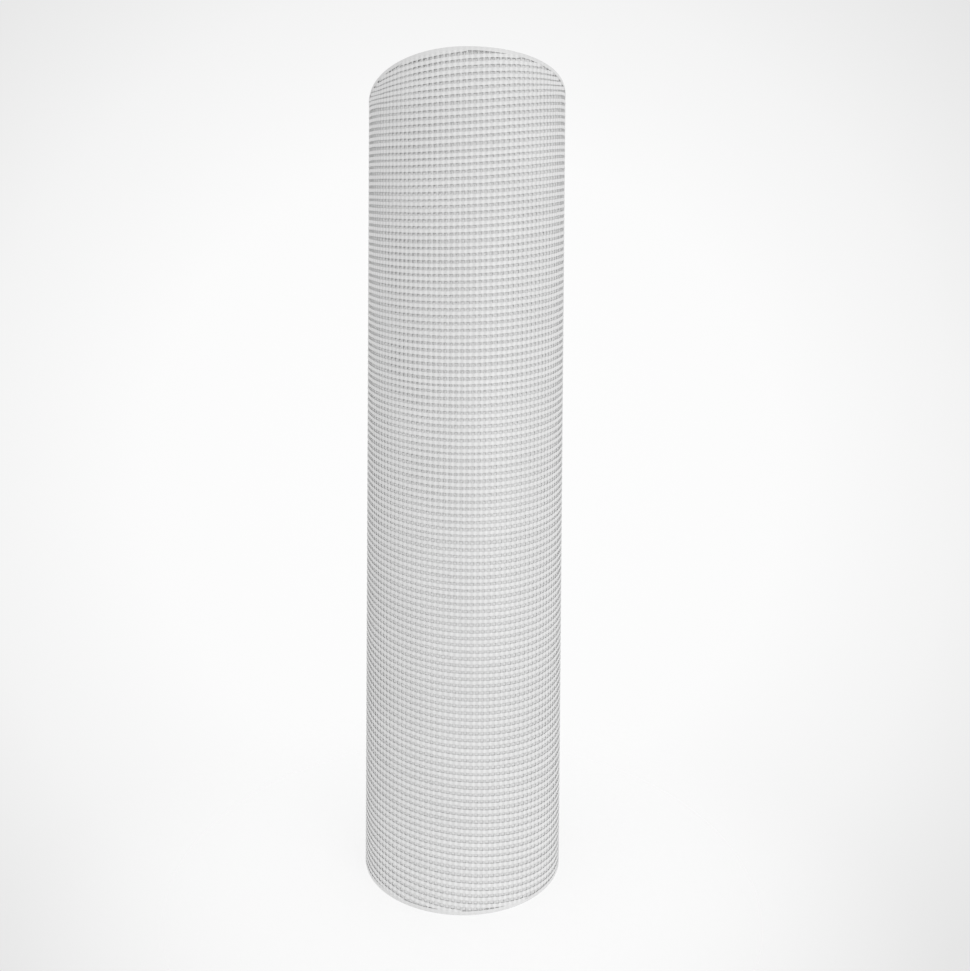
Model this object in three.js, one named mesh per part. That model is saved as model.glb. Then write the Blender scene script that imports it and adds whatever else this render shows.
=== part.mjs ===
// A roll of white fiberglass insect screen that stands on its end. Millimetres, +Z up.
// The sheet is wound straight on itself round an open bore, so the whole roll is one turned solid.
// On both ends the turns fall into bands, because the sheet wandered a little along the axis
// while it was wound: a band that stands higher at the top stands clear of the floor below.
import * as THREE from "three";

const SHEET_WIDTH = 610; // the sheet's width is the height of every turn
const ROLL_DIAMETER = 159;
const BORE_DIAMETER = 48;
const BAND_COUNT = 8; // bands of turns that can be told apart on an end
const BAND_DRIFT = 1.6; // the most that a band sits above the outermost one
const DRIFT_WAVES = 1.5; // half waves of the drift, from the outermost band to the bore
const GROOVE_WIDTH = 0.9; // the gap between two bands, at the end face
const GROOVE_DEPTH = 1.4;
const EDGE_CHAMFER = 0.6; // the soft cut edge of the outermost and the innermost turn
const FACETS = 64; // flat sides round the roll

const outerRadius = ROLL_DIAMETER / 2;
const boreRadius = BORE_DIAMETER / 2;
const bandWidth = (outerRadius - boreRadius) / BAND_COUNT;

// How far band number i, counted inwards, has drifted up. The outermost band stands on the floor.
function bandLift(i) {
  const share = i / Math.max(BAND_COUNT - 1, 1);
  return BAND_DRIFT * Math.sin(Math.PI * DRIFT_WAVES * share) ** 2;
}

// The outline of one end from the outside to the bore, as [radius, height] pairs.
// side is +1 for the top end and -1 for the bottom, where the grooves are cut upwards.
function endOutline(side) {
  const faceHeight = (i) => bandLift(i) + (side > 0 ? SHEET_WIDTH : 0);
  const outline = [
    [outerRadius, faceHeight(0) - side * EDGE_CHAMFER],
    [outerRadius - EDGE_CHAMFER, faceHeight(0)],
  ];
  for (let i = 1; i < BAND_COUNT; i += 1) {
    const gap = outerRadius - i * bandWidth;
    const faces = [faceHeight(i - 1), faceHeight(i)];
    const lower = side > 0 ? Math.min(...faces) : Math.max(...faces);
    outline.push(
      [gap + GROOVE_WIDTH / 2, faces[0]],
      [gap, lower - side * GROOVE_DEPTH],
      [gap - GROOVE_WIDTH / 2, faces[1]],
    );
  }
  const innermost = faceHeight(BAND_COUNT - 1);
  outline.push(
    [boreRadius + EDGE_CHAMFER, innermost],
    [boreRadius, innermost - side * EDGE_CHAMFER],
  );
  return outline;
}

// The closed outline runs up the outer wall, in over the top, down the bore and out below.
function rollOutline() {
  const corners = [...endOutline(1), ...endOutline(-1).reverse()];
  corners.push(corners[0]);
  return corners.map(([radius, height]) => new THREE.Vector2(radius, height));
}

// The lathe turns about +Y, so the shape is tipped over to stand along +Z.
function screenRoll() {
  const shape = new THREE.LatheGeometry(rollOutline(), FACETS);
  shape.rotateX(Math.PI / 2);
  const coatedYarn = new THREE.MeshStandardMaterial({
    color: 0xdedede,
    roughness: 0.5,
    metalness: 0,
  });
  const roll = new THREE.Mesh(shape, coatedYarn);
  roll.name = "screen_roll";
  return roll;
}

const part = new THREE.Group();
part.add(screenRoll());

export default part;
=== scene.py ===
"""Dresses the roll of white fiberglass insect screen that stands on its end.

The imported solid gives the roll's radii, its height and the outline of its two end faces. The open mesh
is modelled yarn by yarn on the two outermost turns, as one sheet wound on a spiral, and each end shows
the cut edges of the turns below. All lengths are metres, with +Z up and the photographed side facing -Y.
An azimuth is measured round the roll from that side, and grows towards +X.
"""

from __future__ import annotations

import logging
import math
from dataclasses import dataclass, field
from enum import Enum

import bpy
import numpy as np
from mathutils import Matrix, Vector

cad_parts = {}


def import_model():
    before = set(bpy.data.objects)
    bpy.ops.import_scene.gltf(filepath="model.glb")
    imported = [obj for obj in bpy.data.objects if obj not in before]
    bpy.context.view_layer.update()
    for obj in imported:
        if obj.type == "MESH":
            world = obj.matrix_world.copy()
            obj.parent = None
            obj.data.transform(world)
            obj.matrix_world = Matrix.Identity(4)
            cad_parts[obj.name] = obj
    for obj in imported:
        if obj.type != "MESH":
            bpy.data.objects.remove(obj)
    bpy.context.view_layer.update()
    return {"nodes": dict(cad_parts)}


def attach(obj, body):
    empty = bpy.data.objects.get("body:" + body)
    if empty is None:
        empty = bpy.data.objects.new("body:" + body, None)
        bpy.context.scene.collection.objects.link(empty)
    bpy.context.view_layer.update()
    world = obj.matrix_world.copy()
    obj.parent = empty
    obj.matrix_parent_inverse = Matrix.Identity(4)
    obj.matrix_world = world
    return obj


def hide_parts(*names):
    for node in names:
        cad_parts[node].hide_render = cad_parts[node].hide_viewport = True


LOG = logging.getLogger("insect_screen_roll")
TAU = 2.0 * math.pi
ROLL_NODE = "screen_roll"
BODY = "root"
YARN_UV = "yarn_uv"
YARN_TONE = "yarn_tone"
CELLS_APART = 37.0  # from where one yarn's strands start to where the next one's do
OUTLINE_DIGITS = 5  # decimals of a metre that tell two corners of the outline apart


class End(Enum):
    """The two ends of the roll, as the direction that each faces along the axis."""

    TOP = 1
    BOTTOM = -1


def eased(share: np.ndarray) -> np.ndarray:
    """A share held between 0 and 1, with a smooth start and end: three of its square less two of its cube."""
    held = np.clip(share, 0.0, 1.0)
    return held * held * (3.0 - 2.0 * held)


# Frame and spiral


@dataclass(frozen=True)
class RollFrame:
    """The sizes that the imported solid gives.

    Args:
        outer_radius: radius of the outermost turn.
        bore_radius: radius of the open bore.
        sheet_width: height of the outermost turn.
        end_radii: for each end, the radii of the corners of its outline, growing outwards.
        end_heights: the heights of those corners.
    """

    outer_radius: float
    bore_radius: float
    sheet_width: float
    end_radii: dict[End, np.ndarray]
    end_heights: dict[End, np.ndarray]

    @classmethod
    def from_node(cls, node: bpy.types.Object) -> RollFrame:
        """Reads the outline of a turned solid from its corners, as pairs of radius and height.

        Args:
            node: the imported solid.

        Returns:
            Its sizes.
        """
        flat = np.empty(len(node.data.vertices) * 3, np.float32)
        node.data.vertices.foreach_get("co", flat)
        points = flat.reshape(-1, 3).astype(float)
        pairs = np.column_stack([np.hypot(points[:, 0], points[:, 1]), points[:, 2]])
        corners = np.unique(np.round(pairs, OUTLINE_DIGITS), axis=0)
        middle = corners[:, 1].mean()
        halves = {End.TOP: corners[corners[:, 1] > middle], End.BOTTOM: corners[corners[:, 1] <= middle]}
        # Both outer corners are cut off alike, so their heights add up to the width of the sheet.
        outer_top, outer_bottom = (halves[end][-1, 1] for end in (End.TOP, End.BOTTOM))
        return cls(
            outer_radius=corners[:, 0].max(),
            bore_radius=corners[:, 0].min(),
            sheet_width=outer_top + outer_bottom,
            end_radii={end: half[:, 0] for end, half in halves.items()},
            end_heights={end: half[:, 1] for end, half in halves.items()},
        )

    def face_height(self, end: End, radius: np.ndarray | float) -> np.ndarray:
        """Height of an end face at a radius, on straight lines between the outline's corners."""
        return np.interp(radius, self.end_radii[end], self.end_heights[end])


@dataclass(frozen=True)
class SpiralSheet:
    """The path of the wound sheet, from its free end on the outside inwards.

    The radius shrinks by one turn pitch with each turn. An angle is the turning from the free end, and
    the travel is the length of sheet up to there.

    Args:
        start_radius: radius at the free end.
        turn_pitch: how much each turn takes off the radius.
        free_end_azimuth: azimuth of the free end.
    """

    start_radius: float
    turn_pitch: float
    free_end_azimuth: float

    def radius(self, angle: np.ndarray) -> np.ndarray:
        """Start radius less the turn pitch times the turns made."""
        return self.start_radius - self.turn_pitch * angle / TAU

    def angle_at(self, travel: np.ndarray) -> np.ndarray:
        """Angle where the sheet has run that far: the smaller root of the travel's quadratic."""
        slope = self.turn_pitch / TAU
        return (self.start_radius - np.sqrt(self.start_radius**2 - 2.0 * slope * travel)) / slope

    def travel(self, angle: np.ndarray | float) -> np.ndarray | float:
        """Start radius times the angle, less half the pitch per radian times the angle squared."""
        return self.start_radius * angle - self.turn_pitch * angle**2 / (2.0 * TAU)

    def azimuth(self, angle: np.ndarray) -> np.ndarray:
        """Azimuth round the roll at an angle of the spiral."""
        return self.free_end_azimuth + angle

    def outward(self, angle: np.ndarray) -> np.ndarray:
        """Unit vectors that point away from the axis."""
        azimuth = self.azimuth(angle)
        return np.stack([np.sin(azimuth), -np.cos(azimuth), np.zeros_like(azimuth)], axis=-1)

    def forward(self, angle: np.ndarray) -> np.ndarray:
        """Unit vectors along the sheet, towards a growing azimuth."""
        azimuth = self.azimuth(angle)
        return np.stack([np.cos(azimuth), np.sin(azimuth), np.zeros_like(azimuth)], axis=-1)


@dataclass(frozen=True)
class SheetDrift:
    """How the rows of the soft mesh run off level, as the photograph shows.

    Args:
        bow: how far a row at the top would rise at the roll's sides, were the bow not softened there.
        bow_growth: how the bow grows from the bottom to the top, as a power of the height share.
        bow_softness: cosine of the azimuth under which the bow rounds off at the sides.
        fade_bottom: heights over the bottom edge between which the bow sets in.
        fade_top: length under the top edge over which it lessens.
        top_share: the least share of the bow that is left at the top edge.
        top_squeeze: the most that rows close up there, as a share of their distance.
        skew: how far a row rises on the right per metre over the level row.
        level_share: height of that row, as a share of the sheet's width.
        edge_rise: how far the top cut edge rises on the right.
        edge_power: how sharply it does so, as a power of the sine of the azimuth.
        slip: how far each turn has slipped up from the one outside it where it has slipped most, at the
            bottom and at the top.
        slip_heights: heights, as shares of the sheet's width, between which the slip sets in downwards.
        slip_at_sides: share of the slip that is added at the sides, before it is held to its most.
        slip_patches: how much the slip varies from patch to patch, as a share of the most.
        patch_height: height of a patch that has slipped more and of one that has slipped less.
        patch_stretch: waves up the roll of the second pattern of patches, for each one of the first.
        patches_round: waves round the roll of the two patterns.
    """

    bow: float = 0.046
    bow_growth: float = 0.7
    bow_softness: float = 0.20
    fade_bottom: tuple[float, float] = (0.030, 0.150)
    fade_top: float = 0.034
    top_share: float = 0.40
    top_squeeze: float = 0.36
    skew: float = 0.0260
    level_share: float = 0.54
    edge_rise: float = 0.0068
    edge_power: float = 2.0
    slip: tuple[float, float] = (0.0020, 0.0028)
    slip_heights: tuple[float, float] = (0.25, 0.70)
    slip_at_sides: float = 1.6
    slip_patches: float = 0.35
    patch_height: float = 0.13
    patch_stretch: float = 0.6
    patches_round: tuple[float, float] = (2.0, 3.0)

    def lift(self, height: np.ndarray, azimuth: np.ndarray, sheet_width: float) -> np.ndarray:
        """Lift of a row over its level place, where the bow and the skew add up.

        The bow grows with one less the size of the azimuth's cosine, softened at the sides. That keeps
        the rows nearly straight for a camera in front of the roll, as in the photograph. The skew grows
        with the sine.

        Args:
            height: level heights on the sheet.
            azimuth: azimuths there, in a shape that goes with the heights.
            sheet_width: width of the sheet.

        Returns:
            How far each place rises.
        """
        share = np.clip(height / sheet_width, 0.0, 1.0)
        low, high = self.fade_bottom
        side = np.hypot(1.0, self.bow_softness) - np.hypot(np.cos(azimuth), self.bow_softness)
        bow = self.bow * share**self.bow_growth * side * eased((height - low) / (high - low))
        near_top = np.clip((height - sheet_width) / self.fade_top + 1.0, 0.0, 1.0)
        loss = np.minimum((1.0 - self.top_share) * bow, self.top_squeeze * self.fade_top) * near_top
        skew = self.skew * sheet_width * (share - self.level_share) * np.sin(azimuth)
        return bow - loss + skew

    def slipped(self, height: np.ndarray, azimuth: np.ndarray, sheet_width: float) -> np.ndarray:
        """Slip of a turn: the most at the sides and low on the roll, where it fills the turn outside it.

        The patches are the product of two waves, which wind up the roll in opposite directions.

        Args:
            height: level heights on the sheet.
            azimuth: azimuths there, in a shape that goes with the heights.
            sheet_width: width of the sheet.

        Returns:
            How far each place slips up, for one turn inwards.
        """
        low, high = self.slip_heights
        phase = TAU * height / self.patch_height
        one_way, other_way = self.patches_round
        patches = np.sin(phase + one_way * azimuth) * np.cos(self.patch_stretch * phase - other_way * azimuth)
        share = eased((high - height / sheet_width) / (high - low))
        share = share + self.slip_at_sides * np.sin(azimuth) ** 2 + self.slip_patches * patches
        most = np.interp(height / sheet_width, (0.0, 1.0), self.slip)
        return most * np.clip(share, 0.0, 1.0)

    def edge_lift(self, end: End, azimuth: np.ndarray) -> np.ndarray:
        """How far a cut edge lies over the level face: the top one rises with a power of the sine."""
        if end is End.BOTTOM:
            return np.zeros_like(azimuth)
        return self.edge_rise * np.clip(np.sin(azimuth), 0.0, 1.0) ** self.edge_power


# Meshes from arrays


@dataclass
class Shape:
    """A mesh as arrays: points, groups of faces with as many corners each, and their UVs.

    Args:
        points: N by 3 positions.
        faces: one array for each corner count, faces by corners.
        uvs: for each of those arrays, faces by corners by 2.
        tone: N values from -1 to 1, how light the yarn at a point is.
        creased: N flags. An edge between two creased points is sharp.
    """

    points: np.ndarray
    faces: list[np.ndarray]
    uvs: list[np.ndarray]
    tone: np.ndarray
    creased: np.ndarray

    def pruned(self) -> Shape:
        """Leaves out the points that no face uses.

        Returns:
            The same shape without them.
        """
        used = np.unique(np.concatenate([group.ravel() for group in self.faces]))
        number = np.zeros(len(self.points), int)
        number[used] = np.arange(len(used))
        faces = [number[group] for group in self.faces]
        return Shape(self.points[used], faces, self.uvs, self.tone[used], self.creased[used])

    def to_object(self, name: str, material: bpy.types.Material) -> bpy.types.Object:
        """Makes an object of the arrays, smooth but for its creases, and links it to the scene.

        Args:
            name: the piece's name.
            material: its only material.

        Returns:
            The new object, at the origin.
        """
        corners = np.concatenate([group.ravel() for group in self.faces])
        sizes = np.concatenate([np.full(len(group), group.shape[1]) for group in self.faces])
        mesh = bpy.data.meshes.new(name)
        mesh.vertices.add(len(self.points))
        mesh.vertices.foreach_set("co", self.points.astype(np.float32).ravel())
        mesh.loops.add(len(corners))
        mesh.loops.foreach_set("vertex_index", corners.astype(np.int32))
        mesh.polygons.add(len(sizes))
        mesh.polygons.foreach_set("loop_start", (np.cumsum(sizes) - sizes).astype(np.int32))
        mesh.polygons.foreach_set("use_smooth", np.ones(len(sizes), bool))
        uv_layer = mesh.uv_layers.new(name=YARN_UV)
        flat_uvs = np.concatenate([group.reshape(-1, 2) for group in self.uvs])
        uv_layer.data.foreach_set("uv", flat_uvs.astype(np.float32).ravel())
        tone = mesh.attributes.new(YARN_TONE, "FLOAT", "POINT")
        tone.data.foreach_set("value", self.tone.astype(np.float32))
        mesh.update(calc_edges=True)
        ends = np.empty(2 * len(mesh.edges), np.int32)
        mesh.edges.foreach_get("vertices", ends)
        sharp = mesh.attributes.new("sharp_edge", "BOOLEAN", "EDGE")
        sharp.data.foreach_set("value", self.creased[ends.reshape(-1, 2)].all(axis=1))
        mesh.materials.append(material)
        piece = bpy.data.objects.new(name, mesh)
        bpy.context.scene.collection.objects.link(piece)
        return piece


def grid_corners(values: np.ndarray) -> np.ndarray:
    """The values at the four corners of each cell of a grid.

    Args:
        values: an array whose last two axes are the grid's rows and columns.

    Returns:
        The same for its cells, and a last axis of 4: this corner, the next column, both, and the next row.
    """
    here, right = values[..., :-1, :-1], values[..., :-1, 1:]
    both, below = values[..., 1:, 1:], values[..., 1:, :-1]
    return np.stack([here, right, both, below], axis=-1)


def tubes(
    rings: np.ndarray,
    along: np.ndarray,
    tone: np.ndarray,
    kept: np.ndarray,
    flat: bool = False,
) -> Shape:
    """Closed tubes that run through rings of points.

    Each ring runs anticlockwise for someone whom the tube comes towards, so that the faces point out. A
    tube is capped wherever a run of kept stations starts or ends.

    Args:
        rings: tubes by stations by sides by 3 positions.
        along: tubes by stations, the length run up to each station.
        tone: tubes by stations, how light the yarn is there.
        kept: tubes by stations, whether the tube is there.
        flat: True to crease every edge, and False for the two edges that the section is widest at.

    Returns:
        The shape, with U along the tube and V round it.
    """
    count, stations, sides, _ = rings.shape
    index = np.arange(count * stations * sides).reshape(count, stations, sides)
    closed = np.concatenate([index, index[:, :, :1]], axis=2)
    spans = kept[:, :-1] & kept[:, 1:]
    run = np.broadcast_to(along[:, :, None], closed.shape)
    round_share = np.broadcast_to(np.arange(sides + 1) / sides, closed.shape)
    walls = grid_corners(closed)[spans].reshape(-1, 4)
    wall_uvs = np.stack([grid_corners(run)[spans], grid_corners(round_share)[spans]], axis=-1)
    none = np.zeros((count, 1), bool)
    after, before = np.hstack([spans, none]), np.hstack([none, spans])
    caps = np.concatenate([index[after & ~before][:, ::-1], index[before & ~after]])
    cap_runs = np.concatenate([along[after & ~before], along[before & ~after]])
    cap_uvs = np.stack([np.broadcast_to(cap_runs[:, None], caps.shape), np.zeros(caps.shape)], axis=-1)
    side = np.arange(count * stations * sides) % sides
    creased = np.full(side.shape, True) if flat else side % (sides // 2) == 0
    shape = Shape(
        points=rings.reshape(-1, 3),
        faces=[walls, caps],
        uvs=[wall_uvs.reshape(-1, 4, 2), cap_uvs],
        tone=np.repeat(tone.ravel(), sides),
        creased=creased,
    )
    return shape.pruned()


@dataclass(frozen=True)
class YarnSection:
    """The flattened section of one coated yarn.

    Args:
        width: its width on the sheet.
        thickness: its thickness outwards.
        sides: its number of sides.
    """

    width: float
    thickness: float
    sides: int

    def rings(self, centres: np.ndarray, across: np.ndarray, outward: np.ndarray) -> np.ndarray:
        """Points round a yarn: an ellipse of the section's width across and its thickness outwards.

        Args:
            centres: yarns by stations by 3 positions.
            across: unit vectors over the yarn's width, so that across times outward runs along it.
            outward: unit vectors away from the roll's axis.

        Returns:
            Yarns by stations by sides by 3 positions.
        """
        turn = TAU * np.arange(self.sides) / self.sides
        fill = 1.0 / np.abs(np.sin(turn)).max()
        wide = 0.5 * self.width * np.cos(turn)[:, None]
        high = 0.5 * self.thickness * fill * np.sin(turn)[:, None]
        return centres[..., None, :] + wide * across[..., None, :] + high * outward[..., None, :]


# The roll's pieces


@dataclass
class OpenTurns:
    """The outermost turns of the sheet, woven yarn by yarn.

    The warp runs round the roll and the weft runs up it. Crossing k, j is where weft yarn j crosses warp
    yarn k, and at each crossing one yarn rides over the other, in turn. A wider yarn of the warp runs
    along each edge and binds it, and a row that drifts to an edge stops there.

    Args:
        frame: the solid's sizes.
        sheet: the spiral that the sheet follows.
        drift: how the rows run off level.
        row_count: warp yarns over the sheet's width.
        spare_rows: rows past each edge, parts of which come in over it.
        column_pitch: distance between weft yarns along the sheet.
        warp_width: width of a warp yarn.
        weft_width: width of a weft yarn.
        yarn_thickness: thickness of both.
        warp_rise: how far the taut warp lies outside the sheet's middle, and the weft inside it.
        crimp: how far a yarn rises over another, and dips under it.
        wander: random offset of a crossing, as a standard deviation.
        row_wander: random offset of a whole row or column.
        edge_width: width of the yarn that binds each edge.
        edge_sides: sides of that yarn.
        edge_margin: how near to an edge the middle of any other warp yarn may come.
        tip_margin: how far a weft yarn stops short of the edge, inside its binding.
        overhang: mean length of warp yarn that sticks out past the spiral's start, at the free end.
        overhang_play: how far that length varies, as a share.
        sides_by_turn: sides of the yarns on each open turn, from the outside inwards.
        seed: seed of the random offsets.
    """

    frame: RollFrame
    sheet: SpiralSheet
    drift: SheetDrift
    row_count: int = 127
    spare_rows: int = 2
    column_pitch: float = 0.00404
    warp_width: float = 0.0026
    weft_width: float = 0.0016
    yarn_thickness: float = 0.00034
    warp_rise: float = 0.00008
    crimp: float = 0.00004
    wander: float = 0.00007
    row_wander: float = 0.00012
    edge_width: float = 0.0028
    edge_sides: int = 8
    edge_margin: float = 0.0022
    tip_margin: float = 0.0005
    overhang: float = 0.0025
    overhang_play: float = 0.6
    sides_by_turn: tuple[int, ...] = (6, 4)
    seed: int = 11

    # Worked out once: the angle of each column, the height and crimp of each crossing, rows by columns,
    # the tone of each yarn, and how far each row sticks out at the free end.
    angles: np.ndarray = field(init=False)
    heights: np.ndarray = field(init=False)
    crimps: np.ndarray = field(init=False)
    row_tones: np.ndarray = field(init=False)
    column_tones: np.ndarray = field(init=False)
    overhangs: np.ndarray = field(init=False)

    def __post_init__(self) -> None:
        """Places every crossing of the open turns."""
        rng = np.random.default_rng(self.seed)
        width = self.frame.sheet_width
        rows = np.arange(-self.spare_rows, self.row_count + self.spare_rows)
        columns = np.arange(self.first_column(len(self.sides_by_turn)) + 1)
        column_play = self.row_wander * rng.standard_normal(len(columns))
        row_play = self.row_wander * rng.standard_normal(len(rows))
        self.angles = self.sheet.angle_at((columns + 0.5) * self.column_pitch + column_play)
        level = (rows + 0.5) * width / self.row_count + row_play
        azimuths = self.sheet.azimuth(self.angles)[None, :]
        lift = self.drift.lift(level[:, None], azimuths, width)
        slip = np.floor(self.angles / TAU) * self.drift.slipped(level[:, None], azimuths, width)
        play = self.wander * rng.standard_normal((len(rows), len(columns)))
        self.heights = level[:, None] + lift + slip + play
        self.crimps = self.crimp * (1.0 - 2.0 * ((rows[:, None] + columns[None, :]) % 2))
        self.row_tones = rng.uniform(-1.0, 1.0, len(rows))
        self.column_tones = rng.uniform(-1.0, 1.0, len(columns))
        shares = rng.uniform(1.0 - self.overhang_play, 1.0 + self.overhang_play, len(rows))
        self.overhangs = self.overhang * shares

    def first_column(self, turn: int) -> int:
        """Number of the first weft yarn on a turn, counted from 0 at the free end."""
        return math.ceil(self.sheet.travel(TAU * turn) / self.column_pitch)

    def edge(self, end: End, angles: np.ndarray) -> np.ndarray:
        """Height of an edge of the sheet at these angles."""
        level = self.frame.face_height(end, self.sheet.radius(angles))
        return level + self.drift.edge_lift(end, self.sheet.azimuth(angles))

    def clear_of_edges(self, heights: np.ndarray, angles: np.ndarray) -> np.ndarray:
        """Finds the crossings that lie between the yarns that bind the edges.

        Args:
            heights: heights of the crossings.
            angles: their angles on the spiral.

        Returns:
            True for each crossing that does.
        """
        low = self.edge(End.BOTTOM, angles) + self.edge_margin
        high = self.edge(End.TOP, angles) - self.edge_margin
        return (heights > low) & (heights < high)

    def warp_angles(self, turn: int) -> np.ndarray:
        """Angles of the weft yarns that a warp yarn crosses on one turn, and the next turn's first."""
        return self.angles[self.first_column(turn) : self.first_column(turn + 1) + 1]

    def warp(self, turn: int) -> Shape:
        """The yarns that run round the roll, over one turn.

        A yarn's centre lies at the spiral's radius plus its rise and crimp, at the height of its
        crossings. The next turn's yarn starts where this one ends.

        Args:
            turn: number of the turn, from the outside.

        Returns:
            All of its warp yarns.
        """
        chosen = slice(self.first_column(turn), self.first_column(turn + 1) + 1)
        heights, crimps = self.heights[:, chosen], self.crimps[:, chosen]
        angles = np.broadcast_to(self.warp_angles(turn), heights.shape)
        columns = np.broadcast_to(np.arange(chosen.start, chosen.stop), heights.shape)
        if turn == 0:
            ends = -self.overhangs[:, None] / self.sheet.start_radius
            angles = np.hstack([ends, angles])
            heights = np.hstack([heights[:, :1], heights])
            crimps = np.hstack([crimps[:, :1], crimps])
            columns = np.hstack([ends * self.sheet.start_radius / self.column_pitch - 0.5, columns])
        section = YarnSection(self.warp_width, self.yarn_thickness, self.sides_by_turn[turn])
        rings = self.rings_round(section, angles, heights, crimps)
        tone = np.broadcast_to(self.row_tones[:, None], angles.shape)
        return tubes(rings, self.cell_run(columns), tone, self.clear_of_edges(heights, angles))

    def bindings(self, turn: int) -> Shape:
        """The two yarns that bind the edges, over one turn: half their width inside the edge.

        Args:
            turn: number of the turn, from the outside.

        Returns:
            Both yarns.
        """
        angles = np.tile(self.warp_angles(turn), (2, 1))
        inset = 0.5 * self.edge_width
        heights = np.stack([self.edge(end, angles[0]) - end.value * inset for end in (End.BOTTOM, End.TOP)])
        section = YarnSection(self.edge_width, self.yarn_thickness, self.edge_sides)
        rings = self.rings_round(section, angles, heights, np.full(angles.shape, self.crimp))
        columns = np.broadcast_to(np.arange(angles.shape[1]), angles.shape)
        return tubes(rings, self.cell_run(columns), np.zeros(angles.shape), np.ones(angles.shape, bool))

    def rings_round(
        self,
        section: YarnSection,
        angles: np.ndarray,
        heights: np.ndarray,
        crimps: np.ndarray,
    ) -> np.ndarray:
        """Rings of yarns that run round the roll, at the spiral's radius plus their rise and crimp.

        Args:
            section: the yarns' section.
            angles: yarns by stations, the angle on the spiral.
            heights: yarns by stations, the height.
            crimps: yarns by stations, how far the yarn lies outside its mean place.

        Returns:
            Yarns by stations by sides by 3 positions.
        """
        outward = self.sheet.outward(angles)
        centres = (self.sheet.radius(angles) + self.warp_rise + crimps)[..., None] * outward
        centres[..., 2] = heights
        return section.rings(centres, np.broadcast_to([0.0, 0.0, 1.0], centres.shape), outward)

    def weft(self, turn: int) -> Shape:
        """The yarns that run up the roll, over one turn, from one edge to the other.

        A yarn's centre lies at the spiral's radius less its rise and the warp's crimp, so that it passes
        under a warp yarn that passes over it. Its ends take the place of the first crossings past the
        bindings.

        Args:
            turn: number of the turn, from the outside.

        Returns:
            All of its weft yarns.
        """
        chosen = slice(self.first_column(turn), self.first_column(turn + 1))
        heights = self.heights[:, chosen].T
        angles = np.broadcast_to(self.angles[chosen][:, None], heights.shape)
        inside = self.clear_of_edges(heights, angles)
        none = np.zeros((len(inside), 1), bool)
        lower_tip = np.hstack([inside[:, 1:], none]) & ~inside
        upper_tip = np.hstack([none, inside[:, :-1]]) & ~inside
        heights = np.where(lower_tip, self.edge(End.BOTTOM, angles) + self.tip_margin, heights)
        heights = np.where(upper_tip, self.edge(End.TOP, angles) - self.tip_margin, heights)
        outward = self.sheet.outward(angles)
        centres = (self.sheet.radius(angles) - self.warp_rise - self.crimps[:, chosen].T)[..., None] * outward
        centres[..., 2] = heights
        section = YarnSection(self.weft_width, self.yarn_thickness, self.sides_by_turn[turn])
        rings = section.rings(centres, -self.sheet.forward(angles), outward)
        tone = np.broadcast_to(self.column_tones[chosen][:, None], heights.shape)
        rows = np.broadcast_to(np.arange(heights.shape[1]), heights.shape)
        return tubes(rings, self.cell_run(rows), tone, inside | lower_tip | upper_tip)

    def cell_run(self, crossings: np.ndarray) -> np.ndarray:
        """Length along each yarn, counted in cells, so that crossings are whole numbers.

        Each yarn starts some cells after the last, so that no two share their strands.
        """
        return crossings + CELLS_APART * np.arange(len(crossings))[:, None]


@dataclass
class EndTurns:
    """The cut edges of the inner turns on one end: one ribbon wound on the sheet's spiral.

    Args:
        turns: the open turns, which the ribbon goes on from.
        ribbon_width: width of the ribbon where it stands on the turns below.
        crest_width: width of its crest.
        depth: height of its crest over its foot.
        gap_drop: how much lower the crest is between two cut yarns.
        tip_play: random drop of a cut tip, as a standard deviation.
        lift_power: how the rise of the top edge dies out inwards, as a power of the way out from the bore.
        tone_turning: two angles. A yarn's tone is the product of the sines of its own angle over each.
        seed: seed of the random offsets.
    """

    turns: OpenTurns
    ribbon_width: float = 0.00052
    crest_width: float = 0.00030
    depth: float = 0.0016
    gap_drop: float = 0.00045
    tip_play: float = 0.00012
    lift_power: float = 5.0
    tone_turning: tuple[float, float] = (3.0, 7.3)
    seed: int = 23

    def ribbon(self, end: End) -> Shape:
        """Two stations for each weft yarn: the crest is high at its cut tip and low past it.

        The ribbon ends one turn short of the bore.

        Args:
            end: the end of the roll.

        Returns:
            The ribbon, as one closed tube.
        """
        frame, sheet, pitch = self.turns.frame, self.turns.sheet, self.turns.column_pitch
        all_turns = (sheet.start_radius - frame.bore_radius) / sheet.turn_pitch
        first = self.turns.first_column(len(self.turns.sides_by_turn))
        last = int(sheet.travel(TAU * (all_turns - 1.0)) / pitch)
        steps = np.arange(2 * first, 2 * last)
        angles = sheet.angle_at((0.5 * steps + 0.5) * pitch)
        radii = sheet.radius(angles)
        rng = np.random.default_rng(self.seed + end.value)
        play = self.tip_play * rng.standard_normal(len(steps))
        share = (radii - frame.bore_radius) / (sheet.start_radius - frame.bore_radius)
        lift = share**self.lift_power * self.turns.drift.edge_lift(end, sheet.azimuth(angles))
        drop = self.gap_drop * (steps % 2) + np.abs(play)
        crest = frame.face_height(end, radii) + lift - end.value * drop
        foot = frame.face_height(end, radii) - end.value * self.depth
        corners = [
            (radii - 0.5 * self.crest_width, crest),
            (radii + 0.5 * self.crest_width, crest),
            (radii + 0.5 * self.ribbon_width, foot),
            (radii - 0.5 * self.ribbon_width, foot),
        ]
        outward = sheet.outward(angles)
        rings = np.stack([radius[:, None] * outward for radius, _ in corners], axis=1)
        rings[..., 2] = np.stack([height for _, height in corners], axis=1)
        if end is End.BOTTOM:
            rings = rings[:, ::-1]
        tone = np.prod([np.sin(angles / turning) for turning in self.tone_turning], axis=0)
        kept = np.ones((1, len(steps)), bool)
        return tubes(rings[None], 0.5 * steps[None], tone[None], kept, flat=True)


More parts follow.
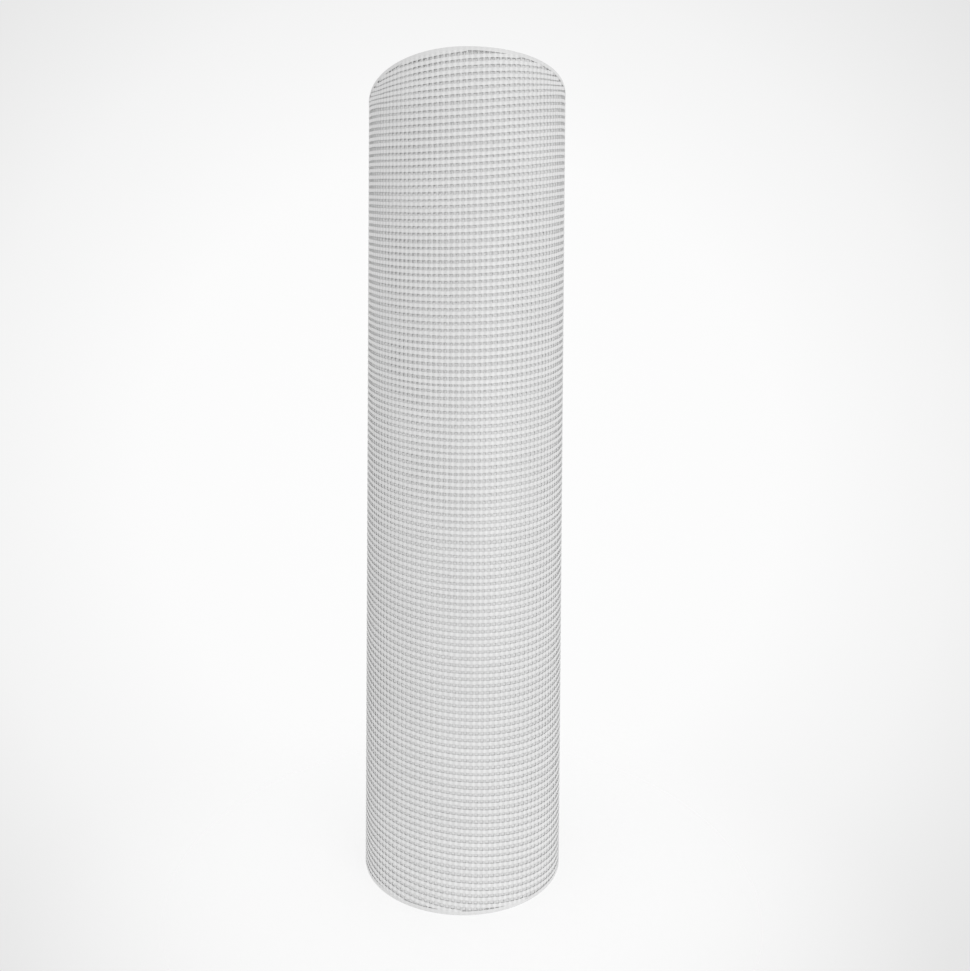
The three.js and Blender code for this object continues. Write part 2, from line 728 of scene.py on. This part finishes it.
@dataclass
class InnerTurns:
    """The turns under the open ones, as one turned body with its bore.

    Args:
        turns: the open turns around it.
        end_drop: how far its end faces lie under the cut tips.
        corner_room: the least distance from its walls to a corner of its end faces.
        around: facets round the roll.
        wall_rows: rings over its height.
    """

    turns: OpenTurns
    end_drop: float = 0.0012
    corner_room: float = 0.0012
    around: int = 160
    wall_rows: int = 56

    def wall(self) -> float:
        """Radius of the outer wall, half a turn under the innermost open turn."""
        sheet = self.turns.sheet
        return sheet.start_radius - (len(self.turns.sides_by_turn) - 0.5) * sheet.turn_pitch

    def outline(self) -> tuple[np.ndarray, np.ndarray]:
        """A closed outline: up the outer wall, in over the top, down the bore and out below.

        Returns:
            The radii of its corners, and their heights.
        """
        frame, wall, bore = self.turns.frame, self.wall(), self.turns.frame.bore_radius
        radii, heights = [], []
        for end in (End.TOP, End.BOTTOM):
            inside = frame.end_radii[end]
            inside = inside[(inside > bore + self.corner_room) & (inside < wall - self.corner_room)]
            across = np.concatenate([[bore], inside, [wall]])
            face = frame.face_height(end, across) - end.value * self.end_drop
            order = slice(None, None, -end.value)
            radii.append(across[order])
            heights.append(face[order])
        share = np.linspace(0.0, 1.0, self.wall_rows)[1:-1]
        outer_rise = heights[1][-1] + share * (heights[0][0] - heights[1][-1])
        bore_fall = heights[0][-1] + share * (heights[1][0] - heights[0][-1])
        radius = np.concatenate([np.full(share.size, wall), radii[0], np.full(share.size, bore), radii[1]])
        height = np.concatenate([outer_rise, heights[0], bore_fall, heights[1]])
        return np.append(radius, radius[0]), np.append(height, height[0])

    def body(self) -> Shape:
        """The outline, carried round the axis.

        Its UVs count mesh cells: U round the roll, and V up it, less the drift of the rows, on the outer
        wall, and along the outline elsewhere.

        Returns:
            The body.
        """
        turns, frame, wall = self.turns, self.turns.frame, self.wall()
        radius, height = self.outline()
        angle = TAU * (len(turns.sides_by_turn) + np.linspace(0.0, 1.0, self.around + 1))
        index = np.arange((len(radius) - 1) * self.around).reshape(-1, self.around)
        index = np.vstack([index, index[:1]])
        index = np.hstack([index, index[:, :1]])
        points = radius[:-1, None, None] * turns.sheet.outward(angle[:-1])
        points[..., 2] = height[:-1, None]
        u = radius[:, None] / wall * turns.sheet.travel(angle) / turns.column_pitch
        run = np.concatenate([[0.0], np.cumsum(np.hypot(np.diff(radius), np.diff(height)))])
        drift = turns.drift.lift(height[:, None], turns.sheet.azimuth(angle)[None, :], frame.sheet_width)
        on_wall = (radius == wall)[:, None]
        row_pitch = frame.sheet_width / turns.row_count
        v = np.where(on_wall, height[:, None] - drift, run[:, None]) / row_pitch
        faces = grid_corners(index)[..., ::-1].reshape(-1, 4)
        uvs = np.stack([grid_corners(u), grid_corners(v)], axis=-1)[..., ::-1, :].reshape(-1, 4, 2)
        on_end = (radius[:-1] > frame.bore_radius) & (radius[:-1] < wall)
        return Shape(
            points=points.reshape(-1, 3),
            faces=[faces],
            uvs=[uvs],
            tone=np.zeros(points.size // 3),
            creased=np.repeat(on_end, self.around),
        )


# Finishes


Socket = bpy.types.NodeSocket
Tree = bpy.types.NodeTree
Source = Socket | float | tuple[float, ...]
Inputs = dict[str | int, Source]


def feed(tree: Tree, node: bpy.types.Node, inputs: Inputs) -> None:
    """Links or sets a node's inputs.

    Args:
        tree: the tree that the node is in.
        node: the node.
        inputs: for an input's name or number, the socket to link to it or the value to set.
    """
    for key, source in inputs.items():
        if isinstance(source, bpy.types.NodeSocket):
            tree.links.new(source, node.inputs[key])
        else:
            node.inputs[key].default_value = source


def add_node(tree: Tree, kind: str, inputs: Inputs | None = None, **settings: object) -> bpy.types.Node:
    """Adds a node.

    Args:
        tree: the tree to add it to.
        kind: its type.
        inputs: what feeds its inputs, as for feed.
        settings: its own properties by name, which are set first.

    Returns:
        The node.
    """
    node = tree.nodes.new(kind)
    for name, value in settings.items():
        setattr(node, name, value)
    feed(tree, node, inputs or {})
    return node


def math_node(tree: Tree, operation: str, *values: Socket | float) -> Socket:
    """Adds a Math node with its inputs in order, and returns its result."""
    return add_node(tree, "ShaderNodeMath", dict(enumerate(values)), operation=operation).outputs[0]


def smooth_step(tree: Tree, value: Socket, low: Socket | float, high: Socket | float) -> Socket:
    """0 below low and 1 above high, with a smooth rise between them."""
    inputs = {"Value": value, "From Min": low, "From Max": high}
    return add_node(tree, "ShaderNodeMapRange", inputs, interpolation_type="SMOOTHSTEP").outputs["Result"]


def mix_colours(tree: Tree, share: Socket, first: Source, second: Source) -> Socket:
    """The first colour where share is 0, and the second where it is 1."""
    inputs = {"Factor": share, "A": first, "B": second}
    return add_node(tree, "ShaderNodeMix", inputs, data_type="RGBA").outputs["Result"]


def grey(value: float) -> tuple[float, float, float, float]:
    """A neutral colour, as four channels."""
    return (value, value, value, 1.0)


def new_group(name: str, inputs: dict[str, str], outputs: dict[str, str]) -> Tree:
    """Makes an empty shader node group.

    Args:
        name: the group's name.
        inputs: socket types by input name.
        outputs: socket types by output name.

    Returns:
        The node group, with its Group Input and Group Output nodes.
    """
    tree = bpy.data.node_groups.new(name, "ShaderNodeTree")
    for in_out, sockets in (("INPUT", inputs), ("OUTPUT", outputs)):
        for socket_name, kind in sockets.items():
            tree.interface.new_socket(socket_name, in_out=in_out, socket_type=kind)
    tree.nodes.new("NodeGroupInput")
    tree.nodes.new("NodeGroupOutput")
    return tree


def yarn_strands_group(
    strand_detail: float = 2.0,
    patch_scale: float = 30.0,
    patch_detail: float = 3.0,
    tone_share: float = 0.25,
) -> Tree:
    """Fine strands of glass that show through a yarn's coating, its light and dark stretches, and painted
    light and shade at its crossings.

    The strands are noise that is stretched along the yarn. The shade is slower noise through space, plus
    the yarn's own tone. Its crossing light share is painted light and shade instead, a cosine of the run in
    cells: 1 at a crossing, where the coating welds two yarns and bulges into the light, and 0 between
    crossings, where the yarn lies lower in shade.

    Args:
        strand_detail: detail of the strands' noise.
        patch_scale: scale of the slower noise, in patches per metre.
        patch_detail: detail of that noise.
        tone_share: how much the yarn's own tone adds to it.

    Returns:
        The node group.
    """
    vector, number = "NodeSocketVector", "NodeSocketFloat"
    tree = new_group(
        "yarn_strands",
        {
            "Yarn UV": vector,
            "Place": vector,
            "Tone": number,
            "Strands": number,
            "Stretch": number,
            "Crossing light share": number,
        },
        {"Height": number, "Shade": number},
    )
    source = tree.nodes["Group Input"].outputs
    axes = add_node(tree, "ShaderNodeSeparateXYZ", {0: source["Yarn UV"]}).outputs
    # Painted light and shade: 1 at each crossing, where the yarns bulge into the light, and 0 between
    # crossings, where they lie lower in shade.
    wave = math_node(tree, "COSINE", math_node(tree, "MULTIPLY", axes["X"], TAU))
    crossing = math_node(tree, "MULTIPLY_ADD", wave, 0.5, 0.5)
    along = math_node(tree, "MULTIPLY", axes["X"], source["Stretch"])
    around = math_node(tree, "MULTIPLY", axes["Y"], source["Strands"])
    scaled = add_node(tree, "ShaderNodeCombineXYZ", {"X": along, "Y": around})
    strand_inputs = {"Vector": scaled.outputs[0], "Scale": 1.0, "Detail": strand_detail}
    strands = add_node(tree, "ShaderNodeTexNoise", strand_inputs, noise_dimensions="2D")
    patch_inputs = {"Vector": source["Place"], "Scale": patch_scale, "Detail": patch_detail}
    patches = add_node(tree, "ShaderNodeTexNoise", patch_inputs, noise_dimensions="3D")
    own_tone = math_node(tree, "MULTIPLY_ADD", source["Tone"], tone_share, patches.outputs["Fac"])
    shade_inputs = {"Factor": source["Crossing light share"], "A": own_tone, "B": crossing}
    shade = add_node(tree, "ShaderNodeMix", shade_inputs, data_type="FLOAT")
    held = math_node(tree, "ADD", shade.outputs["Result"], 0.0)
    held.node.use_clamp = True
    feed(tree, tree.nodes["Group Output"], {"Height": strands.outputs["Fac"], "Shade": held})
    return tree


def woven_cells_group() -> Tree:
    """Open mesh as relief, on a UV map that counts its cells.

    A yarn runs along the middle of each cell, both ways. The height is 1 on a yarn and falls to 0 in the
    hole between four crossings, and the hole is the reverse of it.

    Returns:
        The node group.
    """
    vector, number = "NodeSocketVector", "NodeSocketFloat"
    tree = new_group(
        "woven_cells",
        {"Cells": vector, "Warp share": number, "Weft share": number, "Softness": number},
        {"Height": number, "Hole": number},
    )
    source = tree.nodes["Group Input"].outputs
    axes = add_node(tree, "ShaderNodeSeparateXYZ", {0: source["Cells"]}).outputs
    yarns = []
    for axis, share in (("Y", "Warp share"), ("X", "Weft share")):
        centred = math_node(tree, "SUBTRACT", math_node(tree, "FRACT", axes[axis]), 0.5)
        distance = math_node(tree, "ABSOLUTE", centred)
        half = math_node(tree, "MULTIPLY", source[share], 0.5)
        outside = smooth_step(tree, distance, half, math_node(tree, "ADD", half, source["Softness"]))
        yarns.append(math_node(tree, "SUBTRACT", 1.0, outside))
    height = math_node(tree, "MAXIMUM", *yarns)
    hole = math_node(tree, "SUBTRACT", 1.0, height)
    feed(tree, tree.nodes["Group Output"], {"Height": height, "Hole": hole})
    return tree


def new_material(name: str) -> tuple[bpy.types.Material, Tree, bpy.types.Node]:
    """Makes a node material.

    Args:
        name: the material's name.

    Returns:
        The material, its tree and its Principled shader.
    """
    material = bpy.data.materials.new(name)
    material.use_nodes = True
    tree = material.node_tree
    return material, tree, tree.nodes["Principled BSDF"]


@dataclass(frozen=True)
class CoatedYarnFinish:
    """White vinyl over glass yarn: matt to satin, near neutral, with fine strands along it.

    Args:
        name: the material's name.
        light: base colour of its lightest stretches.
        dark: base colour of its darkest ones.
        crossing_light_share: how much of its shade is painted light and shade from the crossings, lighter on
            them and darker between them.
        roughness: roughness of the coating.
        strands: strands that can be told apart round a yarn.
        stretch: how many noise cells run along each mesh cell.
        relief: height of the strands, in metres.
        sheen: weight of the soft light that fibres catch at a low angle.
    """

    name: str
    light: float
    dark: float
    crossing_light_share: float = 0.7
    roughness: float = 0.46
    strands: float = 9.0
    stretch: float = 1.7
    relief: float = 0.00005
    sheen: float = 0.0

    def material(self, strands_group: Tree) -> bpy.types.Material:
        """Builds the material around the shared group of strands.

        Args:
            strands_group: that group.

        Returns:
            The material.
        """
        material, tree, shader = new_material(self.name)
        uv_map = add_node(tree, "ShaderNodeUVMap", uv_map=YARN_UV)
        place = add_node(tree, "ShaderNodeTexCoord")
        tone = add_node(tree, "ShaderNodeAttribute", attribute_name=YARN_TONE)
        inputs = {
            "Yarn UV": uv_map.outputs["UV"],
            "Place": place.outputs["Object"],
            "Tone": tone.outputs["Fac"],
            "Strands": self.strands,
            "Stretch": self.stretch,
            "Crossing light share": self.crossing_light_share,
        }
        strands = add_node(tree, "ShaderNodeGroup", inputs, node_tree=strands_group).outputs
        bump = add_node(tree, "ShaderNodeBump", {"Distance": self.relief, "Height": strands["Height"]})
        # The base colour carries painted light at the crossings and painted shade between them.
        coating = {
            "Base Color": mix_colours(tree, strands["Shade"], grey(self.dark), grey(self.light)),
            "Roughness": self.roughness,
            "Sheen Weight": self.sheen,
            "Normal": bump.outputs["Normal"],
        }
        feed(tree, shader, coating)
        return material


WARP_YARN = CoatedYarnFinish("warp_yarn", light=0.755, dark=0.61)
# The weft's darker greys are painted shade, for the holes where its mid-spans show.
WEFT_YARN = CoatedYarnFinish("weft_yarn", light=0.72, dark=0.53, sheen=0.3)
# shaded_yarn is a darker copy of the coating, painted with the shade that falls on the second turn.
SHADED_YARN = CoatedYarnFinish("shaded_yarn", light=0.70, dark=0.63, crossing_light_share=0.3, sheen=0.8)
BINDING_YARN = CoatedYarnFinish("binding_yarn", light=0.705, dark=0.63, crossing_light_share=0.4)
# cut_yarn's lighter greys are painted light on the ends, which no lamp lights from above.
CUT_YARN = CoatedYarnFinish("cut_yarn", light=0.86, dark=0.74, crossing_light_share=0.0)


@dataclass(frozen=True)
class InnerTurnsFinish:
    """The mesh of the turns below, seen through the holes of the open ones: yarns over holes painted darker
    as shade.

    Args:
        name: the material's name.
        yarn: base colour of the yarns, darkened as painted shade, since little light reaches them.
        hole: base colour of the holes, darker still as painted shade deep in the mesh.
        warp_share: share of a cell that the warp takes.
        weft_share: share of a cell that the weft takes.
        softness: share of a cell over which a yarn falls off to the hole.
        relief: depth of the holes, in metres.
        roughness: roughness of the coating.
        sheen: weight of the soft light that fibres catch at a low angle.
    """

    name: str = "inner_turns"
    yarn: float = 0.68
    hole: float = 0.63
    warp_share: float = 0.36
    weft_share: float = 0.28
    softness: float = 0.14
    relief: float = 0.0003
    roughness: float = 0.6
    sheen: float = 0.8

    def material(self, cells_group: Tree) -> bpy.types.Material:
        """Builds the material around the shared group of mesh cells.

        Args:
            cells_group: that group.

        Returns:
            The material.
        """
        material, tree, shader = new_material(self.name)
        uv_map = add_node(tree, "ShaderNodeUVMap", uv_map=YARN_UV)
        inputs = {
            "Cells": uv_map.outputs["UV"],
            "Warp share": self.warp_share,
            "Weft share": self.weft_share,
            "Softness": self.softness,
        }
        cells = add_node(tree, "ShaderNodeGroup", inputs, node_tree=cells_group).outputs
        bump = add_node(tree, "ShaderNodeBump", {"Distance": self.relief, "Height": cells["Height"]})
        # The holes get a darker grey than the yarns: painted shade deep in the mesh.
        coating = {
            "Base Color": mix_colours(tree, cells["Hole"], grey(self.yarn), grey(self.hole)),
            "Roughness": self.roughness,
            "Sheen Weight": self.sheen,
            "Normal": bump.outputs["Normal"],
        }
        feed(tree, shader, coating)
        return material


@dataclass
class ScreenRoll:
    """The whole roll: its open turns, its ends and the turns inside.

    Args:
        frame: the solid's sizes.
        turn_pitch: how much each turn adds to the radius.
        free_end_azimuth: where the sheet's free end lies, behind the roll.
    """

    frame: RollFrame
    turn_pitch: float = 0.00059
    free_end_azimuth: float = math.radians(200.0)

    def build(self) -> list[bpy.types.Object]:
        """Builds and dresses every piece.

        Returns:
            The pieces.
        """
        turns = self.open_turns()
        ends, inner = EndTurns(turns), InnerTurns(turns)
        strands = yarn_strands_group()
        finishes = (WARP_YARN, WEFT_YARN, SHADED_YARN, BINDING_YARN, CUT_YARN)
        warp, weft, shaded, binding, cut_yarn = (finish.material(strands) for finish in finishes)
        inside = InnerTurnsFinish().material(woven_cells_group())
        pieces = [
            turns.warp(0).to_object("outer_turn_warp", warp),
            turns.weft(0).to_object("outer_turn_weft", weft),
            turns.bindings(0).to_object("outer_turn_bindings", binding),
            turns.warp(1).to_object("second_turn_warp", shaded),
            turns.weft(1).to_object("second_turn_weft", shaded),
            turns.bindings(1).to_object("second_turn_bindings", shaded),
            ends.ribbon(End.TOP).to_object("top_end_turns", cut_yarn),
            ends.ribbon(End.BOTTOM).to_object("bottom_end_turns", cut_yarn),
        ]
        body = inner.body().to_object("inner_turns", inside)
        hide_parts(ROLL_NODE)
        pieces.append(body)
        for piece in pieces:
            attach(piece, BODY)
        return pieces

    def open_turns(self) -> OpenTurns:
        """Places the sheet so that its highest yarn just reaches the solid's outer radius.

        Returns:
            The open turns.
        """
        reach = 0.5 * OpenTurns.yarn_thickness + OpenTurns.warp_rise + OpenTurns.crimp
        sheet = SpiralSheet(self.frame.outer_radius - reach, self.turn_pitch, self.free_end_azimuth)
        return OpenTurns(self.frame, sheet, SheetDrift())


# The studio


@dataclass(frozen=True)
class SoftLight:
    """A square lamp.

    Args:
        name: its name.
        energy: its power, in watts.
        place: its middle.
        size: length of its side.
    """

    name: str
    energy: float
    place: tuple[float, float, float]
    size: float = 0.9

    def add(self, aim: Vector) -> None:
        """Adds the lamp to the scene.

        Args:
            aim: the point that it faces.
        """
        data = bpy.data.lights.new(self.name, "AREA")
        data.energy = self.energy
        data.size = self.size
        lamp = bpy.data.objects.new(self.name, data)
        bpy.context.scene.collection.objects.link(lamp)
        lamp.location = self.place
        lamp.rotation_euler = (aim - lamp.location).to_track_quat("-Z", "Y").to_euler()


@dataclass(frozen=True)
class Studio:
    """A pale sweep, soft light and the photograph's camera.

    The camera's numbers come from a pinhole camera fitted to the roll's outline. Its focal length and
    its shift are in the photograph's pixels, and its distance and height are lengths.

    Args:
        image_size: the photograph's longer side, in pixels.
        focal_pixels: focal length of the fitted camera.
        shift_pixels: how far the roll's axis lies left of the picture's middle.
        distance: from the camera to the roll's axis.
        eye_height: height of the camera.
        pitch: how far the camera looks down, as an angle.
        roll: how far the camera is turned about its own axis.
        lights: the lamps, which face the roll's axis at the camera's height.
        sky_strength: strength of the even light from all round.
        backdrop: the backdrop's tones, each at the share of a direction that points to +Y.
        floor_radius: where the floor has faded out.
        floor_clear_radius: where it starts to fade.
        floor_corners: corners of its edge.
        floor_tint: its base colour.
        floor_glow: strength of the light that it sends out itself.
        floor_roughness: its roughness.
        floor_gloss: its specular level.
    """

    image_size: int = 971
    focal_pixels: float = 659.0
    shift_pixels: float = 20.14
    distance: float = 0.5414
    eye_height: float = 0.3119
    pitch: float = 0.0155
    roll: float = 0.0066
    lights: tuple[SoftLight, ...] = (
        SoftLight("key_light", 6.7, (0.9, -1.3, 0.4)),
        SoftLight("fill_light", 1.2, (-1.1, -1.1, 0.4)),
    )
    sky_strength: float = 0.84
    backdrop: tuple[tuple[float, float], ...] = ((0.69, 0.79), (0.80, 0.905), (0.90, 0.97), (1.0, 0.982))
    floor_radius: float = 0.36
    floor_clear_radius: float = 0.10
    floor_corners: int = 96
    floor_tint: float = 0.30
    floor_glow: float = 0.70
    floor_roughness: float = 0.9
    floor_gloss: float = 0.1

    def camera(self) -> None:
        """Places the photograph's camera, looking along +Y."""
        data = bpy.data.cameras.new("photo_camera")
        data.lens = self.focal_pixels / self.image_size * data.sensor_width
        data.shift_x = self.shift_pixels / self.image_size
        camera = bpy.data.objects.new("photo_camera", data)
        bpy.context.scene.collection.objects.link(camera)
        look = Matrix.Rotation(math.pi / 2 - self.pitch, 4, "X") @ Matrix.Rotation(self.roll, 4, "Z")
        place = Matrix.Translation((0.0, -self.distance, self.eye_height))
        camera.matrix_world = place @ look
        bpy.context.scene.camera = camera

    def world(self) -> None:
        """Even light from all round, and for the camera a backdrop that darkens away from the middle.

        The backdrop's colour follows how far a direction turns from +Y.
        """
        world = bpy.data.worlds.new("studio")
        bpy.context.scene.world = world
        world.use_nodes = True
        tree = world.node_tree
        tree.nodes.clear()
        direction = add_node(tree, "ShaderNodeTexCoord")
        axes = add_node(tree, "ShaderNodeSeparateXYZ", {0: direction.outputs["Generated"]})
        ramp = add_node(tree, "ShaderNodeValToRGB", {"Fac": axes.outputs["Y"]})
        stops = ramp.color_ramp.elements
        for index, (position, value) in enumerate(self.backdrop):
            stop = stops[index] if index < len(stops) else stops.new(position)
            stop.position = position
            stop.color = grey(value)
        seen = add_node(tree, "ShaderNodeBackground", {"Color": ramp.outputs["Color"]})
        lighting = add_node(tree, "ShaderNodeBackground", {"Color": grey(1.0), "Strength": self.sky_strength})
        path = add_node(tree, "ShaderNodeLightPath")
        chosen = {"Fac": path.outputs["Is Camera Ray"], 1: lighting.outputs[0], 2: seen.outputs[0]}
        mix = add_node(tree, "ShaderNodeMixShader", chosen)
        add_node(tree, "ShaderNodeOutputWorld", {"Surface": mix.outputs[0]})

    def floor(self) -> None:
        """A pale floor that fades into the backdrop away from the roll."""
        corners, radius = self.floor_corners, self.floor_radius
        bpy.ops.mesh.primitive_circle_add(vertices=corners, radius=radius, fill_type="NGON")
        floor = bpy.context.object
        floor.name = "studio_floor"
        material, tree, shader = new_material("studio_floor")
        place = add_node(tree, "ShaderNodeTexCoord")
        length = add_node(tree, "ShaderNodeVectorMath", {0: place.outputs["Object"]}, operation="LENGTH")
        fade = smooth_step(tree, length.outputs["Value"], self.floor_clear_radius, radius)
        surface = {
            "Base Color": grey(self.floor_tint),
            "Roughness": self.floor_roughness,
            "Specular IOR Level": self.floor_gloss,
            "Emission Color": grey(1.0),
            "Emission Strength": self.floor_glow,
            "Alpha": math_node(tree, "SUBTRACT", 1.0, fade),
        }
        feed(tree, shader, surface)
        floor.data.materials.append(material)

    def build(self) -> None:
        """Builds the whole studio."""
        scene = bpy.context.scene
        scene.view_settings.view_transform = "Standard"
        self.camera()
        self.world()
        self.floor()
        for light in self.lights:
            light.add(Vector((0.0, 0.0, self.eye_height)))


def main() -> None:
    """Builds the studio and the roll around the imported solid."""
    logging.basicConfig(level=logging.INFO, format="%(name)s: %(message)s")
    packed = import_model()
    frame = RollFrame.from_node(packed["nodes"][ROLL_NODE])
    Studio().build()
    for piece in ScreenRoll(frame).build():
        LOG.info("%s: %d faces", piece.name, len(piece.data.polygons))


if __name__ == "__main__":
    main()
